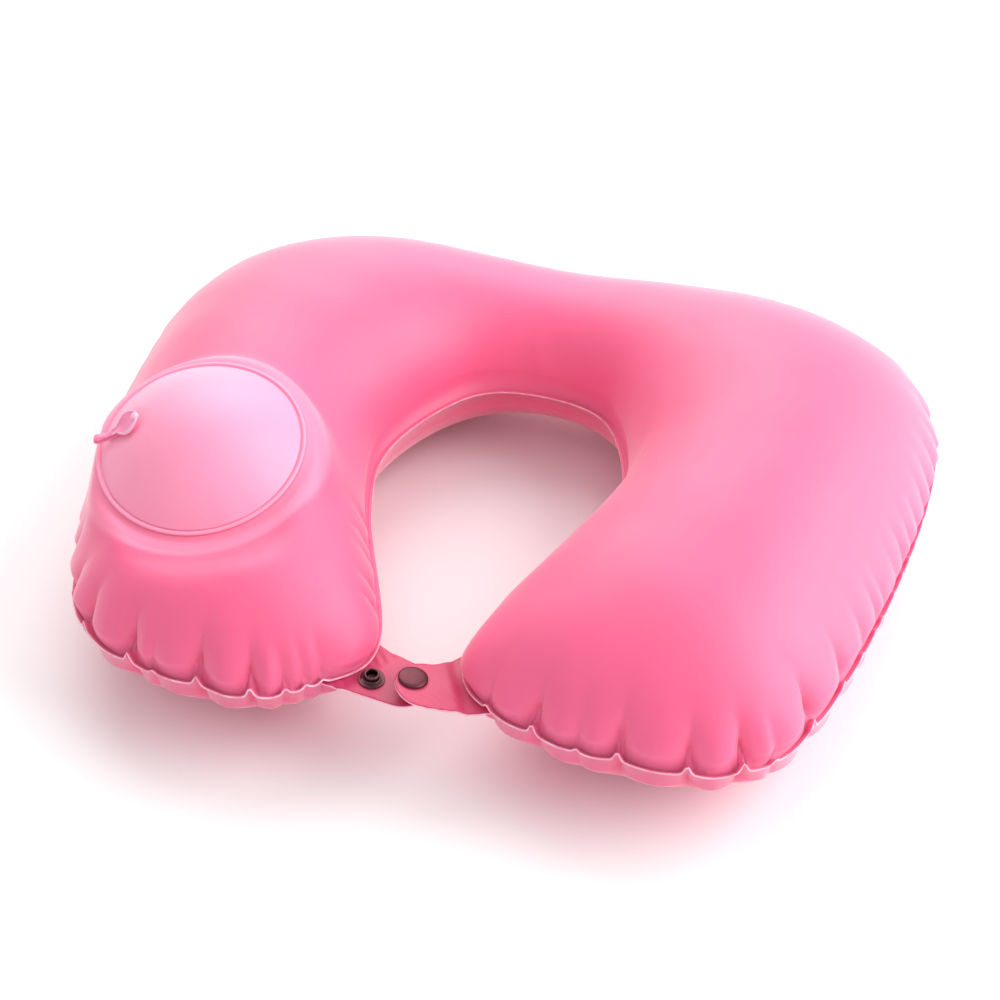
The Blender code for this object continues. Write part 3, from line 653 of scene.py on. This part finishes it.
def make_bladder(film, edge):
    outline = centred_outline()
    spots, triangles, depth = panel_layout()
    rise = membrane(spots, triangles, depth > FLANGE_WIDTH - 0.00005)

    radius = seat_radius(spots)
    height = UPPER_FULLNESS * rise
    lift = seat_height(spots) - FLANGE_HEIGHT - height
    proud = smoothstep(-0.006, 0.006, lift)
    seat = 1 - smoothstep(*SEAT_PROUD_FADE, radius) * proud
    seat = seat - smoothstep(*SEAT_PRESSED_FADE, radius) * (1 - proud)
    seat = seat * smoothstep(FLANGE_WIDTH, FLANGE_WIDTH + SEAT_EDGE_FADE, depth)
    relief = sum(rise_by * np.exp(-(((radius - at) / width) ** 2)) for rise_by, at, width in SEAT_RELIEF)
    height = height + seat * (lift + relief)
    points = shaped_panel(spots, height, triangles, depth, outline, True)
    kept = triangles[seat_radius(spots[triangles].mean(1)) > SEAT_HOLE_RADIUS]
    top = mesh_object("upper_film", points, kept)
    face_up(top)
    thicken(top, FILM, 1, 1)

    height = soft_limit(LOWER_FULLNESS * rise, CONTACT_DEPTH)
    points = shaped_panel(spots, height, triangles, depth, outline, False)
    points[:, 2] = np.maximum(points[:, 2], FILM)
    bottom = mesh_object("lower_film", points, triangles)
    face_up(bottom)
    thicken(bottom, FILM, -1, 1)

    for obj, node in ((top, "upper_panel"), (bottom, "lower_panel")):
        obj.data.materials.append(film)
        obj.data.materials.append(edge)
        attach(obj, "root")
        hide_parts(node)


# ---------------------------------------------------------------- the pump and its valve
def pump_place():
    return Matrix.Translation(SEAT_CENTRE) @ Matrix.Rotation(SEAT_TILT, 4, "X")


def dome_height(radius):
    sphere = (DOME_RADIUS**2 + DOME_HEIGHT**2) / (2 * DOME_HEIGHT)
    return math.sqrt(sphere**2 - radius**2) - (sphere - DOME_HEIGHT)


def valve_place():
    sphere = (DOME_RADIUS**2 + DOME_HEIGHT**2) / (2 * DOME_HEIGHT)
    slope = math.asin(VALVE_DISTANCE / sphere)
    across, along = VALVE_DISTANCE * math.cos(VALVE_BEARING), VALVE_DISTANCE * math.sin(VALVE_BEARING)
    spot = Vector((across, along, dome_height(VALVE_DISTANCE)))
    turn = Matrix.Rotation(VALVE_BEARING, 4, "Z") @ Matrix.Rotation(slope, 4, "Y")
    return pump_place() @ Matrix.Translation(spot) @ turn


def skin_height(radius):
    """Height of the dome's film over the seat. It runs out over the inner part of the rim."""
    return SKIN_FOOT + (SKIN_TOP - SKIN_FOOT) * (1 - (radius / SKIN_RADIUS) ** 2)


def make_dome(film):
    """The dome's skin, with a dimple round the valve, a rolled edge and a few faint creases."""
    place = pump_place()
    valve = place.inverted() @ valve_place()
    rows, steps = 40, 144
    rings = [SKIN_RADIUS * math.sin(math.pi / 2 * i / rows) for i in range(rows + 1)]
    rolled_edge = [(SKIN_RADIUS + 0.0002, SKIN_FOOT - 0.0003), (SKIN_RADIUS, SKIN_FOOT - 0.0005)]
    points, faces = [], []
    for row, radius in enumerate(rings):
        for i in range(steps if row else 1):
            turn = 2 * math.pi * i / steps
            spot = Vector((radius * math.cos(turn), radius * math.sin(turn), skin_height(radius)))
            away = (spot - valve.translation).length
            spot.z -= 0.0009 * math.exp(-((away / 0.0080) ** 4))
            fold = noise.noise(Vector((math.cos(turn) * 5, math.sin(turn) * 5, radius * 30)))
            spot.z += 0.0004 * fold * (radius / SKIN_RADIUS) ** 3
            points.append(place @ spot)
    for radius, height in rolled_edge:
        for i in range(steps):
            turn = 2 * math.pi * i / steps
            points.append(place @ Vector((radius * math.cos(turn), radius * math.sin(turn), height)))
    faces += [(0, 1 + i, 1 + (i + 1) % steps) for i in range(steps)]
    for row in range(len(rings)):
        inner, outer = 1 + row * steps, 1 + (row + 1) * steps
        for i in range(steps):
            j = (i + 1) % steps
            faces.append((inner + i, outer + i, outer + j, inner + j))
    skin = mesh_object("dome_skin", points, faces)
    face_up(skin)
    thicken(skin, 0.0005, -1)
    skin.data.materials.append(film)
    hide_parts("pump_dome")
    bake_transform(skin)


def make_rim(film):
    """The welded ring round the dome: a flat weld under the dome's edge and a thin bead outside it."""
    profile = [
        (0.0446, 0.0006), (0.0446, 0.0011), (0.0465, 0.0011), (0.0469, 0.0015), (0.0475, 0.0018),
        (0.0482, 0.0016), (0.0486, 0.0011), (0.0482, 0.0006),
    ]
    rim = turned("rim_ring", rounded(profile, 0.0005), pump_place(), 144)
    rim.data.shade_smooth()
    rim.data.materials.append(film)
    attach(rim, "root")
    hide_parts("pump_rim")


def make_foam(foam):
    place = pump_place()
    radius, floor = 0.0422, -0.0130
    crown = [(r, dome_height(r) - 0.0026) for r in (0, 0.010, 0.018, 0.025, 0.031, 0.036, 0.0395)]
    wall = [(radius, 0.0012), (radius, -0.006), (radius, floor + 0.001)]
    profile = [*crown, *wall, (radius - 0.001, floor), (0, floor)]
    block = turned("foam_block", profile, place, 96)
    block.data.materials.append(foam)
    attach(block, "root")
    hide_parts("pump_foam")
    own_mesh(block)


def leaf_half_width(share):
    """Half the width of the plug's finger tab, from its knob end to the strap."""
    neck = 0.0013 + 0.0004 * smoothstep(0.7, 1.0, share)
    if share >= LEAF_NECK:
        return neck
    return max(neck, LEAF_HALF_WIDTH * math.sin(math.pi * min(1.0, 0.06 + share / 0.96)) ** 0.80)


def plug_place():
    return valve_place() @ Matrix.Rotation(PLUG_TWIST, 4, "Z")


def make_plug(plastic, pale_highlight_plastic):
    """The leaf-shaped finger tab, its knob and the tapered stem that plugs the bore."""
    place = plug_place()
    low, high = 0.0016, 0.0028
    steps = 40
    tip, root = -0.0076, 0.0084
    outline = []
    for i in range(steps + 1):
        share = i / steps
        outline.append((tip + (root - tip) * share, float(leaf_half_width(share))))
    loop = outline + [(x, -y) for x, y in outline[::-1]]
    # Each level: how wide the outline is there, and its height. The last ones make a raised border.
    levels = [
        (0.86, low), (1.0, low + 0.0003), (1.0, high - 0.0003), (0.93, high), (0.80, high),
        (0.68, high - 0.0004),
    ]
    points, faces, pale = [], [], []
    count = len(loop)
    for scale, level in levels:
        for x, y in loop:
            roll = (0.0004 - 0.20 * y * scale) * (1 - smoothstep(0.0, root, x))
            points.append(place @ Vector((x, y * scale, level + roll + 0.0006 * (max(0, x) / root) ** 2)))
    for row in range(len(levels) - 1):
        for i in range(count):
            j = (i + 1) % count
            faces.append((row * count + i, row * count + j, (row + 1) * count + j, (row + 1) * count + i))
            # The side wall, the top bevel and the raised border take the paler plastic: a painted highlight
            # along the leaf's edges.
            pale.append(1 <= row <= 3)
    half = len(outline)
    for row in (0, len(levels) - 1):
        for i in range(half - 1):
            a, b = row * count + i, row * count + i + 1
            faces.append((a, b, row * count + count - 2 - i, row * count + count - 1 - i))
            pale.append(False)
    leaf = mesh_object("plug_leaf", points, faces)
    knob_place = place @ Matrix.Translation((-0.0066, 0, 0))
    knob_profile = [
        (0, 0.0043), (0.0009, 0.0042), (0.0016, 0.0037), (0.0018, 0.0030), (0.0017, 0.0022),
        (0.0015, 0.0018), (0, 0.0018),
    ]
    knob = turned("plug_knob", knob_profile, knob_place, 40)
    stem_profile = [
        (0, 0.0022), (0.0021, 0.0022), (0.0020, 0), (0.0013, -0.0022), (0.0008, -0.0026), (0, -0.0026),
    ]
    stem = turned("plug_stem", stem_profile, place, 40)
    for obj, material in ((leaf, plastic), (knob, pale_highlight_plastic), (stem, plastic)):
        obj.data.materials.append(material)
        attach(obj, "valve_plug")
    # The knob is paler plastic; on the leaf the paler plastic is a painted highlight on its edges.
    leaf.data.materials.append(pale_highlight_plastic)
    for face, is_painted_highlight in zip(leaf.data.polygons, pale):
        face.material_index = int(is_painted_highlight)
    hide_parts("valve_plug")


def make_strap(plastic):
    """The flat strap from the leaf, out round a hairpin and back to the valve's neck."""
    place = plug_place()
    route = [
        (0.0084, 0.0028), (0.0108, 0.0032), (0.0132, 0.0045), (0.0152, 0.0058), (0.0168, 0.0060),
        (0.0176, 0.0050), (0.0166, 0.0036), (0.0142, 0.0024), (0.0112, 0.0014), (0.0080, 0.0008),
        (0.0047, 0.0007),
    ]
    line = smooth_line(route, 6)
    half_width, half_thick = 0.0015, 0.00045
    points, faces = [], []
    section = [(math.cos(2 * math.pi * k / 12), math.sin(2 * math.pi * k / 12)) for k in range(12)]
    section = [(math.copysign(abs(c) ** 0.5, c), math.copysign(abs(s) ** 0.7, s)) for c, s in section]
    for i, (x, z) in enumerate(line):
        before, after = line[max(0, i - 1)], line[min(len(line) - 1, i + 1)]
        run = Vector((after[0] - before[0], 0, after[1] - before[1])).normalized()
        normal = Vector((-run.z, 0, run.x))
        flare = 1 + 0.35 * math.exp(-((x - 0.0175) / 0.002) ** 2)
        for c, s in section:
            spot = Vector((x, 0, z)) + Vector((0, c * half_width * flare, 0)) + normal * (s * half_thick)
            points.append(place @ spot)
    count = len(section)
    for row in range(len(line) - 1):
        for i in range(count):
            j = (i + 1) % count
            faces.append((row * count + i, row * count + j, (row + 1) * count + j, (row + 1) * count + i))
    faces.append(tuple(range(count)))
    faces.append(tuple(range((len(line) - 1) * count, len(line) * count)))
    strap = mesh_object("strap", points, faces)
    strap.data.materials.append(plastic)
    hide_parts("plug_strap")
    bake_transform(strap)


def smooth_line(points, steps):
    """An open Catmull-Rom curve through the points."""
    here = [points[0], *points, points[-1]]
    done = []
    for i in range(1, len(here) - 2):
        p0, p1, p2, p3 = (np.array(here[i + k]) for k in (-1, 0, 1, 2))
        for k in range(steps):
            t = k / steps
            square, cube = 2 * p0 - 5 * p1 + 4 * p2 - p3, 3 * p1 - p0 - 3 * p2 + p3
            done.append(tuple(0.5 * (2 * p1 + (p2 - p0) * t + square * t**2 + cube * t**3)))
    return [*done, tuple(map(float, points[-1]))]


def make_valve_body(plastic):
    profile = [
        (0.0027, 0.0009), (0.0044, 0.0009), (0.0044, -0.0017), (0.0064, -0.0017), (0.0064, -0.0025),
        (0.0036, -0.0025), (0.0036, -0.0085), (0.0027, -0.0085),
    ]
    body = turned("valve_neck", rounded(profile, 0.0003), valve_place(), 48)
    body.data.materials.append(plastic)
    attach(body, "pump_top")
    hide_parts("valve_body")


# ---------------------------------------------------------------- the tabs and the snap
def hinge_place(hinge, yaw, tilt):
    return (
        Matrix.Translation((*hinge, FLANGE_HEIGHT))
        @ Matrix.Rotation(yaw, 4, "Z")
        @ Matrix.Rotation(-tilt, 4, "Y")
    )


def curved_side(start, start_turn, end, end_turn, steps=10):
    """A Hermite curve between two points, with its direction at each end."""
    t = (np.arange(1, steps) / steps)[:, None]
    start, end = np.array(start), np.array(end)
    start_turn, end_turn = np.array(start_turn), np.array(end_turn)
    return (
        (2 * t**3 - 3 * t**2 + 1) * start
        + (t**3 - 2 * t**2 + t) * start_turn
        + (-2 * t**3 + 3 * t**2) * end
        + (t**3 - t**2) * end_turn
    )


def tab_outline(root_from, root_to, end_centre, end_radius, end_from, end_to, corner_turns, tuck=0.0036):
    """A tab's outline seen from above. Its root is tucked under the flange."""
    edge = inset(even_loop(centred_outline(), 0.002), tuck)
    first = np.argmin(np.linalg.norm(edge - root_from, axis=1))
    last = np.argmin(np.linalg.norm(edge - root_to, axis=1))
    root = edge[first : last + 1]
    turns = [end_from + (end_to - end_from) * i / 30 for i in range(31)]
    end = np.array(end_centre) + end_radius * np.array([(math.cos(a), math.sin(a)) for a in turns])
    sweep = math.copysign(1, end_to - end_from)
    leave = np.array([-math.sin(turns[0]), math.cos(turns[0])]) * sweep
    arrive = np.array([-math.sin(turns[-1]), math.cos(turns[-1])]) * sweep
    reach = 0.022
    out = curved_side(root[-1], np.array(corner_turns[0]) * reach, end[0], leave * reach)
    back = curved_side(end[-1], arrive * reach, root[0], np.array(corner_turns[1]) * reach)
    return np.vstack([root, out, end, back])


def make_tab(name, node, body, outline, hinge, yaw, tilt, hole, hole_radius, film, edge, wrinkle):
    """A tab cut from sheet: triangulated in its own plane, tucked under the flange and slightly creased."""
    place = hinge_place(hinge, yaw, tilt)
    x_axis, y_axis = np.array([math.cos(yaw), math.sin(yaw)]), np.array([-math.sin(yaw), math.cos(yaw)])
    offset = outline - np.array(hinge)
    spacing = 0.0011
    loop = even_loop(np.column_stack([offset @ x_axis, offset @ y_axis]), spacing)
    turn = 2 * math.pi * np.arange(36) / 36
    ring = np.column_stack([hole[0] + hole_radius * np.cos(turn), hole[1] + hole_radius * np.sin(turn)])
    low, high = loop.min(0), loop.max(0)
    columns, rows = np.arange(low[0], high[0], spacing), np.arange(low[1], high[1], spacing * 0.866)
    field = np.array([(x + spacing / 2 * (i % 2), y) for i, y in enumerate(rows) for x in columns])
    field = field[is_inside(loop, field)]
    field = field[distance_to(loop, field) > spacing * 0.6]
    field = field[np.hypot(*(field - hole).T) > hole_radius + spacing * 0.6]
    points = np.vstack([loop, ring, field])
    loops = [(0, len(loop)), (len(loop), len(ring))]
    edges = [(first + i, first + (i + 1) % count) for first, count in loops for i in range(count)]
    found = delaunay_2d_cdt([Vector(p) for p in points], edges, [list(range(len(loop)))], 1, 1e-7)
    spots, triangles = np.array([tuple(p) for p in found[0]]), np.array(found[2])
    middle = spots[triangles].mean(1)
    triangles = triangles[np.hypot(*(middle - hole).T) > hole_radius * 0.97]
    tucked = (-0.0012 - spots[:, 0] * math.sin(tilt)) / math.cos(tilt)
    flat_near_snap = smoothstep(hole_radius + 0.0045, hole_radius + 0.0100, np.hypot(*(spots - hole).T))
    height = tucked * (1 - smoothstep(-0.0005, 0.0060, spots[:, 0])) + wrinkle(spots) * flat_near_snap
    shaped = [place @ Vector((x, y, z)) for (x, y), z in zip(spots, height)]
    tab = mesh_object(name, shaped, triangles)
    face_up(tab)
    thicken(tab, 0.0009, 0, 1)
    tab.data.materials.append(film)
    tab.data.materials.append(edge)
    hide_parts(node)
    start = place @ Vector((-0.0015, 0, 0))
    end = place @ Vector((0.0060, 0, 0))
    return tab, start, end


def make_tabs(film, edge):
    def right_wrinkle(spots):
        slant = spots[:, 0] * 0.8 + spots[:, 1] * 0.6
        patch = np.exp(-(((spots[:, 0] - 0.010) / 0.008) ** 2 + ((spots[:, 1] - 0.010) / 0.006) ** 2))
        return 0.00022 * np.sin(slant / 0.00055) * patch + 0.0005 * np.cos(spots[:, 1] / 0.008) - 0.0004

    def left_wrinkle(spots):
        patch = np.exp(-((spots[:, 0] + 0.001) / 0.004) ** 2)
        return 0.00025 * np.sin(spots[:, 1] / 0.0007 + spots[:, 0] / 0.002) * patch

    outline = tab_outline(
        (0.033, -0.149), (0.018, -0.107), (0.0028, -0.1400), 0.0135,
        math.radians(100), math.radians(265), ((-0.95, -0.30), (0.90, 0.42)),
    )
    right, start, end = make_tab(
        "right_tab_fabric", "right_snap_tab", "right_tab", outline, RIGHT_HINGE, RIGHT_YAW, RIGHT_TILT,
        CAP_PLACE, 0.0020, film, edge, right_wrinkle,
    )
    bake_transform(right)
    outline = tab_outline(
        (-0.0245, -0.114), (-0.041, -0.150), (-0.0080, -0.1380), 0.0130,
        math.radians(-95), math.radians(80), ((0.95, -0.3), (-0.7, 0.7)),
    )
    left, start, end = make_tab(
        "left_tab_fabric", "left_snap_tab", "left_tab", outline, LEFT_HINGE, LEFT_YAW, LEFT_TILT,
        STUD_PLACE, 0.0024, film, edge, left_wrinkle,
    )
    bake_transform(left)


def make_snaps(cap_metal, dark_metal):
    face = 0.0008
    right = hinge_place(RIGHT_HINGE, RIGHT_YAW, RIGHT_TILT) @ Matrix.Translation((*CAP_PLACE, 0))
    left = hinge_place(LEFT_HINGE, LEFT_YAW, LEFT_TILT) @ Matrix.Translation((*STUD_PLACE, 0))
    cap = [
        (0, face + 0.00150), (0.0020, face + 0.00147), (0.0040, face + 0.00136), (0.0054, face + 0.00115),
        (0.0062, face + 0.00090), (0.0066, face + 0.00060), (0.0067, face + 0.00025), (0.0065, face),
        (0.0016, face), (0.0016, -0.0017), (0, -0.0017),
    ]
    cap = turned("cap", cap, right, 96)
    socket = [
        (0.0019, -face), (0.0052, -face), (0.0057, -face - 0.0004), (0.0057, -0.0030), (0.0053, -0.0034),
        (0.0038, -0.0034), (0.0038, -0.0029), (0.0044, -0.0029), (0.0044, -0.0020), (0.0038, -0.0020),
        (0.0038, -0.0014), (0.0019, -0.0014),
    ]
    socket = turned("socket", rounded(socket, 0.0002, 3), right, 72)
    stud = [
        (0.0024, 0.0042), (0.0027, 0.0045), (0.0032, 0.0045), (0.0035, 0.0041), (0.0034, 0.0032),
        (0.0031, 0.0024), (0.0034, 0.0016), (0.0054, 0.0012), (0.0058, 0.0013), (0.0059, 0.0009),
        (0.0056, face), (0.0024, face),
    ]
    stud = turned("stud", rounded(stud, 0.0003, 3), left, 96)
    eyelet = [
        (0.0013, 0.0020), (0.0020, 0.0020), (0.0020, -face), (0.0046, -face), (0.0050, -face - 0.0004),
        (0.0046, -face - 0.0008), (0.0018, -face - 0.0008), (0.0013, -face - 0.0003),
    ]
    eyelet = turned("eyelet", rounded(eyelet, 0.0002, 3), left, 72)
    pairs = [
        (cap, cap_metal, "right_tab", "snap_cap", "cap_metal"),
        (socket, dark_metal, "right_tab", "snap_socket", "snap_metal"),
        (stud, dark_metal, "left_tab", "snap_stud", "snap_metal"),
        (eyelet, dark_metal, "left_tab", "stud_eyelet", "snap_metal"),
    ]
    for obj, material, body, node, slot in pairs:
        obj.data.materials.append(material)
        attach(obj, body)
        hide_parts(node)


# ---------------------------------------------------------------- stage
def add_light(name, place, aim, size, power):
    data = bpy.data.lights.new(name, "AREA")
    data.shape = "DISK"
    data.size = size
    data.energy = power
    light = bpy.data.objects.new(name, data)
    bpy.context.scene.collection.objects.link(light)
    light.location = place
    light.rotation_mode = "QUATERNION"
    light.rotation_quaternion = (Vector(aim) - Vector(place)).to_track_quat("-Z", "Y")


def make_stage():
    work = bmesh.new()
    bmesh.ops.create_grid(work, x_segments=1, y_segments=1, size=6.0)
    mesh = bpy.data.meshes.new("floor")
    work.to_mesh(mesh)
    work.free()
    floor = bpy.data.objects.new("floor", mesh)
    bpy.context.scene.collection.objects.link(floor)
    nodes = Nodes("pale_floor", (0.92, 0.92, 0.92), 0.7)
    nodes.bump(nodes.noise(30.0, 3.0), 0.02, 0.0005)
    mesh.materials.append(nodes.material)

    world = bpy.data.worlds.new("studio")
    bpy.context.scene.world = world
    world.use_nodes = True
    sky = world.node_tree.nodes["Background"]
    sky.inputs["Color"].default_value = (1, 1, 1, 1)
    sky.inputs["Strength"].default_value = 0.76
    add_light("key", (1.45, 0.35, 0.95), (0.02, 0, 0.05), 2.0, 36)
    add_light("back", (-0.45, 1.20, 1.30), (0, 0, 0.05), 1.8, 20)

    data = bpy.data.cameras.new("camera")
    camera = bpy.data.objects.new("camera", data)
    bpy.context.scene.collection.objects.link(camera)
    flat, rise = math.cos(CAMERA_ELEVATION), math.sin(CAMERA_ELEVATION)
    back = Vector((math.sin(CAMERA_AZIMUTH) * flat, -math.cos(CAMERA_AZIMUTH) * flat, rise))
    camera.location = CAMERA_AIM + back * CAMERA_DISTANCE
    camera.rotation_mode = "QUATERNION"
    camera.rotation_quaternion = (-back).to_track_quat("-Z", "Y")
    data.lens = CAMERA_LENS
    data.sensor_width = 36
    data.clip_start, data.clip_end = 0.01, 20
    bpy.context.scene.camera = camera
    bpy.context.scene.view_settings.view_transform = "Standard"


def main():
    # The panel film's patch colour is painted light on the annulus round the pump.
    pink = film_material("panel_film", (0.86, 0.094, 0.238), patch=(0.93, 0.195, 0.355))
    tab_pink = film_material("tab_film", (0.58, 0.032, 0.118), 0.50, 0.10)
    pale_pink = film_material("dome_film", (0.98, 0.290, 0.470), 0.48, 0.62)
    edge = edge_material()
    plastic = plastic_material("valve_plastic", (0.95, 0.26, 0.46))
    # Paler plastic for the knob, and as a painted highlight on the plug leaf's edges.
    pale_highlight_plastic = plastic_material("valve_plastic_pale_highlight", (0.98, 0.48, 0.66))
    cap_metal = metal_material("cap_metal", (0.130, 0.040, 0.050), 0.36)
    dark_metal = metal_material("snap_metal", (0.100, 0.045, 0.050), 0.24)
    make_bladder(pink, edge)
    make_dome(pale_pink)
    make_rim(pale_pink)
    make_foam(foam_material())
    make_valve_body(plastic)
    make_plug(plastic, pale_highlight_plastic)
    make_strap(plastic)
    make_tabs(tab_pink, edge)
    make_snaps(cap_metal, dark_metal)
    inner = film_material("inner_film", (0.80, 0.16, 0.30), 0.5)
    steel = metal_material("spring_steel", (0.60, 0.60, 0.62), 0.22)
    for node, material in (
        ("pump_dish", inner), ("outlet_seat", plastic), ("outlet_flap", plastic), ("intake_flap", plastic),
        ("socket_spring", steel),
    ):
        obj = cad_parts[node]
        obj.data.materials.clear()
        obj.data.materials.append(material)
    make_stage()


main()
